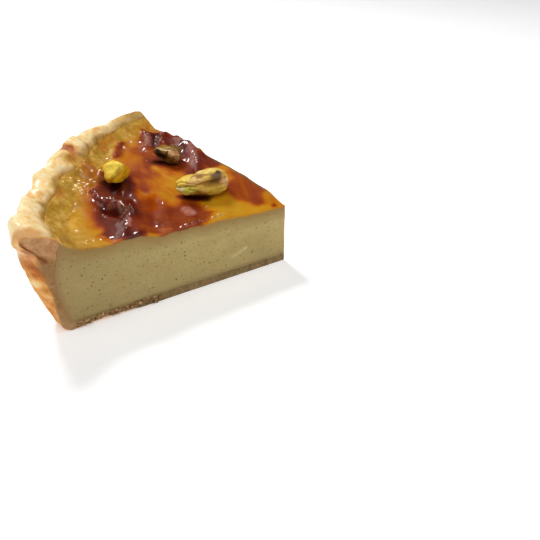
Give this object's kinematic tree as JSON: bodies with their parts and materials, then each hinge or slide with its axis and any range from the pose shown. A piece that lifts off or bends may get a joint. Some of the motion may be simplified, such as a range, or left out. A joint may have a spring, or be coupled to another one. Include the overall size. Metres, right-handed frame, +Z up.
{
  "type": "pistachio flan slice",
  "caption": "Wedge of baked pistachio custard flan in a folded pastry crust, its browned wrinkled top set with pistachio kernels; it rests on its flat base.",
  "frame": {"origin": "on the flat underside, beneath the middle of the slice", "axes": "+Z up, +X towards the slice's tip, crust at -X; the cut that the picture shows faces -Y and +X"},
  "size_m": [0.0958, 0.112, 0.046],
  "materials": {
    "pastry": "glazed golden baked shortcrust, crumbly where cut",
    "custard": "smooth olive pistachio custard under a glossy caramelised skin",
    "pistachio": "dry wrinkled kernel, yellow-green",
    "pistachio_browned": "dry kernel browned by the oven"
  },
  "bodies": {
    "root": {"pastry_shell": "pastry", "custard": "custard", "pistachio_whole": "pistachio", "pistachio_yellow": "pistachio", "pistachio_dark": "pistachio_browned"}
  },
  "joints": []
}
